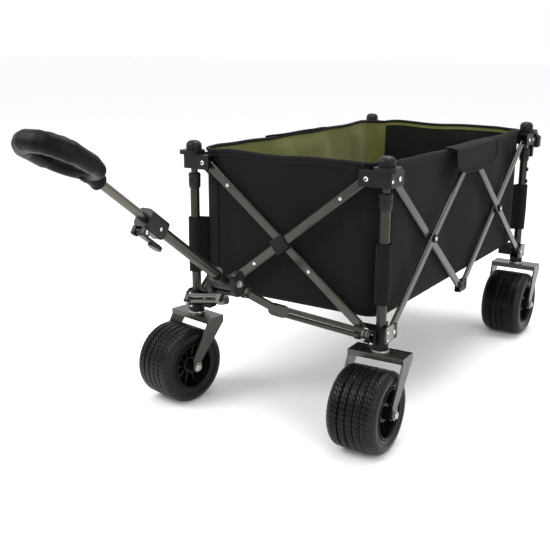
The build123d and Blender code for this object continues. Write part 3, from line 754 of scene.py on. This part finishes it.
tyre_low, tyre_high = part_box("tyre_rear_right")
TYRE_R = (tyre_high.z - tyre_low.z) / 2
TYRE_HALF = (tyre_high.x - tyre_low.x) / 2
BEAD_R = TYRE_R - 0.034
points, faces = tyre_mesh(TYRE_R, TYRE_HALF, BEAD_R)
tread = None
for corner in CORNERS:
    centre, axle = wheel_place(corner)
    if tread is None:
        piece = add_mesh(f"tread_{corner}", points, faces, looks["tyre_rubber"])
        crease(piece, 38)
        tread = piece.data
    else:
        piece = bpy.data.objects.new(f"tread_{corner}", tread)
        scene.collection.objects.link(piece)
    turn = atan2(axle.y, axle.x)
    piece.matrix_world = Matrix.Translation(centre) @ Matrix.Rotation(turn, 4, "Z")
    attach(piece, f"{corner}_wheel")
    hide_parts(f"tyre_{corner}")

# washers and nut tips on the axles, hub caps and rim rings on the wheels
FORK_FACE = 0.0655  # outer faces of the fork's arms, from the middle of the wheel
CAP_FACE, RIM_RING_FACE = 0.034, 0.053  # the same for the wheel's hub and rim
for corner in CORNERS:
    centre, axle = wheel_place(corner)
    body = f"{corner}_caster" if "front" in corner else f"{corner}_post"
    nuts = Batch()
    for way in (-1, 1):
        face = centre + axle * (way * FORK_FACE)
        nuts.turned(face, axle * way, [(0, 0.0105), (0.0012, 0.0105), (0.0014, 0.0102), (0.0014, 0.006)], 28)
        tip = [(0.0041, 0.0085), (0.0050, 0.0078), (0.0058, 0.0066), (0.0062, 0.0054), (0.0068, 0.0042), (0.0068, 0)]
        nuts.turned(face, axle * way, tip, 20)
    nuts.make(f"axle_nuts_{corner}", lock_steel, body, "fork_metal")
    cups = Batch()
    for way in (-1, 1):
        face = centre + axle * (way * CAP_FACE)
        cups.turned(face, axle * way, [(0, 0.0228), (0.006, 0.0222), (0.0078, 0.0205), (0.0078, 0.0148)], 32)
        ring = [(-0.004, 0.0515), (0.0006, 0.0523), (0.0022, 0.0537), (0.0028, 0.0556), (0.0012, 0.0566)]
        cups.turned(centre + axle * (way * RIM_RING_FACE), axle * way, ring, 72)
    cups.make(f"wheel_trim_{corner}", looks["rim_plastic"], f"{corner}_wheel", "rim_plastic")

# ---------------------------------------------------------------- hub trim and screws
HUB_FACE = 0.0187  # the hubs' outer faces stand this far out from the posts' axes
OUTER_BAR_FACE, INNER_BAR_FACE = 0.0143, 0.0057  # the same for the two layers of end bars
SIDE_CAP_FACE = 0.0168
FOOT_SIDE_FACE = 0.0197  # outer face of the grey plate on each foot
FOOT_PLATE_X, FOOT_PLATE_OUT = 0.243, 0.0302
for corner, (sx, sy) in CORNERS.items():
    x, y = sx * HALF_X, sy * HALF_Y
    ex, ey = x - sx * END_INSET, y - sy * SIDE_INSET
    head = Batch()
    z = HIGH_PIVOT_Z
    head.screw((ex, y + sy * HUB_FACE, z), (0, sy, 0), 0.0056, 0.0034)
    head.screw((x + sx * HUB_FACE, ey, z), (sx, 0, 0), 0.0056, 0.0034)
    head.screw((x + sx * HUB_FACE, y + sy * 0.010, z - 0.002), (sx, 0, 0), 0.0042, 0.0026)
    head.make(f"head_screws_{corner}", screw_steel, f"{corner}_head", "hub_plastic")
    foot = Batch()
    z = PIVOT.z
    foot.screw((ex, y + sy * HUB_FACE, z), (0, sy, 0), 0.0056, 0.0034)
    foot.screw((x + sx * FOOT_SIDE_FACE, ey, z), (sx, 0, 0), 0.0056, 0.0034)
    foot.screw((x + sx * FOOT_SIDE_FACE, y + sy * 0.006, z + 0.006), (sx, 0, 0), 0.0042, 0.0026)
    foot.screw((x + sx * FOOT_SIDE_FACE, y + sy * 0.006, z - 0.012), (sx, 0, 0), 0.0042, 0.0026)
    if sy < 0:
        front = y - FOOT_PLATE_OUT
        for dz in (0.012, -0.009):
            foot.screw((sx * FOOT_PLATE_X, front - 0.0016, z + dz - 0.006), (0, -1, 0), 0.0040, 0.0022)
        plate = Batch()
        plate_middle = (sx * FOOT_PLATE_X, front, z - 0.006)
        plate.box(plate_middle, ((1, 0, 0), (0, 0, 1), (0, -1, 0)), (0.018, 0.040, 0.0032), 0.0030)
        plate.make(f"foot_plate_{corner}", looks["hub_plastic"], f"{corner}_post", "hub_plastic")
    foot.make(f"foot_screws_{corner}", screw_steel, f"{corner}_post", "hub_plastic")
    side_plate = Batch()
    side_middle = (x + sx * 0.0188, y - sy * 0.006, z)
    side_plate.box(side_middle, ((0, 1, 0), (0, 0, 1), (sx, 0, 0)), (0.036, 0.038, 0.0018), 0.0008)
    side_plate.make(f"foot_side_plate_{corner}", plate_grey, f"{corner}_post", "hub_plastic")

# black plastic collars where the inner tubes slide out of the posts: height over the tube's end, radius
COLLAR_PROFILE = [
    (0.0004, 0.0084),
    (0.0018, 0.0098),
    (0.0018, 0.0124),
    (0.0002, 0.0141),
    (-0.007, 0.0145),
    (-0.009, 0.0137),
    (-0.0105, 0.0137),
    (-0.0125, 0.0143),
    (-0.030, 0.0139),
    (-0.0345, 0.0121),
    (-0.0352, 0.0111),
]
for corner, (sx, sy) in CORNERS.items():
    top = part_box(f"outer_tube_{corner}")[1].z
    collar = Batch()
    collar.turned(
        (sx * HALF_X, sy * HALF_Y, top),
        (0, 0, 1),
        COLLAR_PROFILE,
        40,
    )
    collar.make(f"post_collar_{corner}", looks["hub_plastic"], f"{corner}_post", "hub_plastic")

# latch block behind the rear right hub, and two small clips on its post
AXES = (Vector((1, 0, 0)), Vector((0, 1, 0)), Vector((0, 0, 1)))
latch = Batch()
latch.box((HALF_X + 0.012, HALF_Y + 0.060, 0.564), AXES, (0.026, 0.024, 0.036), 0.004)
latch.box((HALF_X + 0.010, HALF_Y + 0.034, 0.571), AXES, (0.014, 0.040, 0.016), 0.002)
latch.box((HALF_X + 0.010, HALF_Y + 0.0245, 0.543), AXES, (0.014, 0.013, 0.042), 0.002)
latch.make("latch_block", looks["hub_plastic"], "rear_right_head", "hub_plastic")
clips = Batch()
for height in (0.487, 0.452):
    clips.box((HALF_X + 0.0118, HALF_Y, height), AXES, (0.006, 0.009, 0.011), 0.0012)
clips.make("post_clips", looks["hub_plastic"], "rear_right_post", "hub_plastic")

# black covers over the crossing of the end bars
for end, name in ((-1, "front"), (1, "rear")):
    centre = Vector(JOINTS[f"{name}_cross"]["pos_m"])
    cover = Batch()
    out = Vector((0, end, 0))
    along_bar = Vector((-end * cos(OPEN), 0, sin(OPEN)))
    middle = Vector((centre.x, end * (HALF_Y + 0.0170), centre.z)) - along_bar * 0.0015
    cover.box(middle, (along_bar, out.cross(along_bar), out), (0.0385, 0.0365, 0.0054), 0.0022)
    cover.turned(middle, out, [(0.0027, 0.0125), (0.0036, 0.0118), (0.0036, 0)], 32)
    cover.make(f"cross_cover_{name}", looks["joint_plastic"], f"{name}_bar_outer", "joint_plastic")

# flush rivets along the end bars
for end, name in ((-1, "front"), (1, "rear")):
    centre = Vector(JOINTS[f"{name}_cross"]["pos_m"])
    out = Vector((0, end, 0))
    for layer, depth, climb in (("outer", OUTER_BAR_FACE, 1), ("inner", INNER_BAR_FACE, -1)):
        bar_way = Vector((-end * climb * cos(OPEN), 0, sin(OPEN)))
        place = Vector((centre.x, end * (HALF_Y + depth), centre.z))
        rivets = Batch()
        for reach in (0.355, -0.165) if climb > 0 else (-0.165, 0.355):
            rivet = [(-0.0004, 0.0042), (0.0003, 0.0040), (0.0005, 0.0030), (0.0005, 0)]
            rivets.turned(place + bar_way * (BAR * reach), out, rivet, 20)
        rivets.make(f"bar_rivets_{name}_{layer}", screw_steel, f"{name}_bar_{layer}", "bar_metal")

# black caps and bright screws where the side bars cross
for side, name in ((-1, "left"), (1, "right")):
    for where in ("front", "rear"):
        centre = Vector(JOINTS[f"{name}_{where}_cross"]["pos_m"])
        out = Vector((side, 0, 0))
        face = Vector((side * (HALF_X + SIDE_CAP_FACE), centre.y, centre.z))
        cap = Batch()
        cap.turned(face - out * 0.0022, out, [(0, 0.0098), (0.0028, 0.0098), (0.0042, 0.0086), (0.0042, 0)], 28)
        cap.make(f"cross_cap_{name}_{where}", looks["joint_plastic"], f"{name}_{where}_bar_outer", "joint_plastic")
        pin = Batch()
        pin.screw(face + out * 0.002, out, 0.0052, 0.003)
        pin.make(f"cross_screw_{name}_{where}", screw_steel, f"{name}_{where}_bar_outer", "joint_plastic")

# fork plates: bearing on top, stem end below, turned-down lips at the edges with a row of hexagon nuts by each
PLATE_HALF = 0.026
PLATE_UNDER, PLATE_TOP = 0.1995, 0.2035
LIP_MIDDLE, NUT_TOP = 0.1965, 0.1985
BEARING_PROFILE = [(0, 0.0205), (0.0012, 0.0205), (0.002, 0.0188), (0.0038, 0.0182), (0.0042, 0.0164)]
STEM_END_PROFILE = [
    (0, 0.016),
    (0.0012, 0.0162),
    (0.0026, 0.0148),
    (0.0052, 0.0104),
    (0.0075, 0.0102),
    (0.0085, 0.0088),
    (0.0085, 0),
]
for corner, (sx, sy) in CORNERS.items():
    body = f"{corner}_caster" if sy < 0 else f"{corner}_post"
    x, y = sx * HALF_X, sy * HALF_Y
    trim = Batch()
    trim.turned((x, y, PLATE_TOP), (0, 0, 1), BEARING_PROFILE, 36)
    trim.turned((x, y, PLATE_UNDER), (0, 0, -1), STEM_END_PROFILE, 30)
    trim.make(f"bearing_{corner}", lock_steel, body, "fork_metal")
    axle = wheel_place(corner)[1]
    ahead = Vector((-axle.y, axle.x, 0))
    lips = Batch()
    for way in (-1, 1):
        edge = Vector((x, y, LIP_MIDDLE)) + ahead * (way * (PLATE_HALF - 0.0012))
        lips.box(edge, (axle, Vector((0, 0, 1)), ahead), (0.128, 0.0120, 0.0024), 0.0010)
        for step in (-1.5, -0.5, 0.5, 1.5):
            nut = Vector((x, y, NUT_TOP)) + ahead * (way * 0.0185) + axle * (step * 0.0125)
            lips.turned(nut, (0, 0, -1), [(0, 0.0048), (0.0036, 0.0048), (0.0046, 0.0038), (0.0046, 0)], 6)
    lips.make(f"fork_lips_{corner}", looks["fork_metal"], body, "fork_metal")


# ---------------------------------------------------------------- handle trim
handle_pivot = Vector(JOINTS["handle_tilt"]["pos_m"])
slide = Vector(JOINTS["handle_extend"]["axis"]).normalized()
handle_up = Vector((0, -slide.z, slide.y)) * (-1 if slide.y > 0 else 1)
if handle_up.z < 0:
    handle_up = -handle_up


def along(distance, lift=0.0, x=0.0):
    return handle_pivot + slide * distance + handle_up * lift + Vector((x, 0, 0))


LOOP_TILT = radians(29.5)
LOOP_HALF_X, LOOP_HALF_S, LOOP_R, LOOP_TUBE = 0.052, 0.061, 0.046, 0.013
loop_dir = Vector((0, -cos(LOOP_TILT), sin(LOOP_TILT)))
loop_normal = Vector((0, sin(LOOP_TILT), cos(LOOP_TILT)))
loop_centre = along(0.464) + loop_dir * LOOP_HALF_S


def loop_path(steps=30):
    """The loop's centreline from its collar end, once round."""
    out = []
    corners = (
        (LOOP_HALF_X - LOOP_R, LOOP_R - LOOP_HALF_S, -90),
        (LOOP_HALF_X - LOOP_R, LOOP_HALF_S - LOOP_R, 0),
        (LOOP_R - LOOP_HALF_X, LOOP_HALF_S - LOOP_R, 90),
        (LOOP_R - LOOP_HALF_X, LOOP_R - LOOP_HALF_S, 180),
    )
    for cx, cs, start in corners:
        for n in range(steps):
            t = radians(start + 90 * n / steps)
            out.append(loop_centre + Vector((1, 0, 0)) * (cx + LOOP_R * cos(t)) + loop_dir * (cs + LOOP_R * sin(t)))
    return out


# soft over-moulded cover on the loop beyond its collar, with faint finger waves and a parting line
BARE_STEPS = 26  # of the loop's centreline, on each side of the collar
whole = loop_path()
cover = whole[BARE_STEPS:len(whole) - BARE_STEPS]
cover_count = len(cover)


def cover_section(n):
    end = min(n, cover_count - 1 - n)
    swell = 0.0010 + 0.0013 * smoothstep(0, 3, end) + 0.0003 * sin(2 * pi * n / 7.5) * smoothstep(4, 9, end)
    tall = 1 + 0.16 * smoothstep(0, 12, end)
    shape = []
    for k in range(26):
        t = 2 * pi * k / 26
        r = LOOP_TUBE + swell
        if k in (0, 13):
            r -= 0.0008
        inner = 1 + 0.4 * smoothstep(0, 12, end) if cos(t) > 0 else 1
        shape.append((inner * r * cos(t), tall * r * sin(t)))
    return shape


points, faces = swept(cover, cover_section, up=loop_normal)
piece = add_mesh("grip_cover", points, faces, looks["grip_rubber"])
crease(piece, 50)
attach(piece, "handle_high")

trim = Batch()
lower_ring = [(0, 0.0118), (0.0006, 0.0142), (0.002, 0.0152), (0.007, 0.0152), (0.009, 0.0144)]
trim.turned(along(0.4275), slide, lower_ring, 40)
trim.turned(along(0.452), slide, [(0, 0.0142), (0.003, 0.0158), (0.012, 0.0162), (0.016, 0.0148)], 40)
trim.make("grip_collar_rings", looks["grip_rubber"], "handle_high", "grip_rubber")

YOKE_FACE = 0.0349
trim = Batch()
for hand in (-1, 1):
    bolt = [(0, 0.0085), (0.0014, 0.0082), (0.0014, 0.0062), (0.0052, 0.006), (0.0062, 0.0048), (0.0062, 0)]
    trim.turned(handle_pivot + Vector((hand * YOKE_FACE, 0, 0)), (hand, 0, 0), bolt, 6)
trim.make("yoke_screws", lock_steel, "draw_bar_hub", "handle_plastic")

trim = Batch()
lever_pin = Vector(JOINTS["clamp_flip"]["pos_m"])
for hand in (-1, 1):
    trim.screw(lever_pin + Vector((hand * 0.0148, 0, 0)), (hand, 0, 0), 0.0042, 0.0026)
    trim.screw(along(0.262, -0.004, hand * 0.0168), (hand, 0, 0), 0.0036, 0.0018)
trim.make("clamp_screws", screw_steel, "handle_low", "handle_plastic")

# bolts at the draw arms' feet
ARM_FOOT_FACE = 0.0119
for side, name in ((-1, "left"), (1, "right")):
    joint = JOINTS[f"draw_arm_{name}_swing"]
    foot = Vector(joint["pos_m"])
    axis = Vector((0, abs(joint["axis"][1]), abs(joint["axis"][2]))).normalized()
    bolts = Batch()
    for way in (-1, 1):
        bolts.screw(foot + axis * (way * ARM_FOOT_FACE), axis * way, 0.0052, 0.0030)
    bolts.make(f"arm_foot_bolts_{name}", lock_steel, f"front_{name}_post", "hub_plastic")


# ---------------------------------------------------------------- floor, light, camera
FLOOR_SIZE = 60.0
bpy.ops.mesh.primitive_plane_add(size=FLOOR_SIZE, location=(0, 0, 0))
ground = bpy.context.object
ground.name = "studio_floor"
m = Nodes("studio_floor")
m.set(Base_Color=(0.97, 0.97, 0.97, 1), Roughness=0.85)
m.bump(m.noise(40, 3), 0.02, 0.001)
ground.data.materials.append(m.material)

world = bpy.data.worlds.new("studio")
scene.world = world
world.use_nodes = True
world.node_tree.nodes["Background"].inputs["Color"].default_value = (1, 1, 1, 1)
world.node_tree.nodes["Background"].inputs["Strength"].default_value = 1.0


def softbox(name, place, target, width, height, power, colour=(1, 1, 1)):
    data = bpy.data.lights.new(name, "AREA")
    data.shape = "RECTANGLE"
    data.size, data.size_y = width, height
    data.energy = power
    data.color = colour
    lamp = bpy.data.objects.new(name, data)
    scene.collection.objects.link(lamp)
    lamp.location = place
    lamp.rotation_euler = (Vector(target) - Vector(place)).to_track_quat("-Z", "Y").to_euler()
    return lamp


softbox("key", (-1.6, -2.2, 2.6), (0, 0, 0.3), 1.6, 1.6, 60)
softbox("fill", (2.6, -1.4, 1.6), (0, 0, 0.3), 1.8, 1.4, 25)
softbox("top", (0.2, 0.3, 3.0), (0, 0, 0.3), 1.5, 1.5, 62)

CAMERA_PLACE = (1.0105, -2.0491, 0.8523)
PAN_DEG, DOWN_DEG, ROLL_DEG = 33.011, 15.367, 0.236
SENSOR_MM, LENS_MM = 36.0, 56.14
camera = bpy.data.objects.new("camera", bpy.data.cameras.new("camera"))
scene.collection.objects.link(camera)
camera.location = CAMERA_PLACE
pan = Matrix.Rotation(radians(PAN_DEG), 3, "Z")
tilt = Matrix.Rotation(radians(90 - DOWN_DEG), 3, "X")
roll = Matrix.Rotation(radians(ROLL_DEG), 3, "Z")
camera.rotation_euler = (pan @ tilt @ roll).to_euler()
camera.data.sensor_width = SENSOR_MM
camera.data.lens = LENS_MM
scene.camera = camera
scene.view_settings.view_transform = "Standard"
scene.view_settings.look = "None"
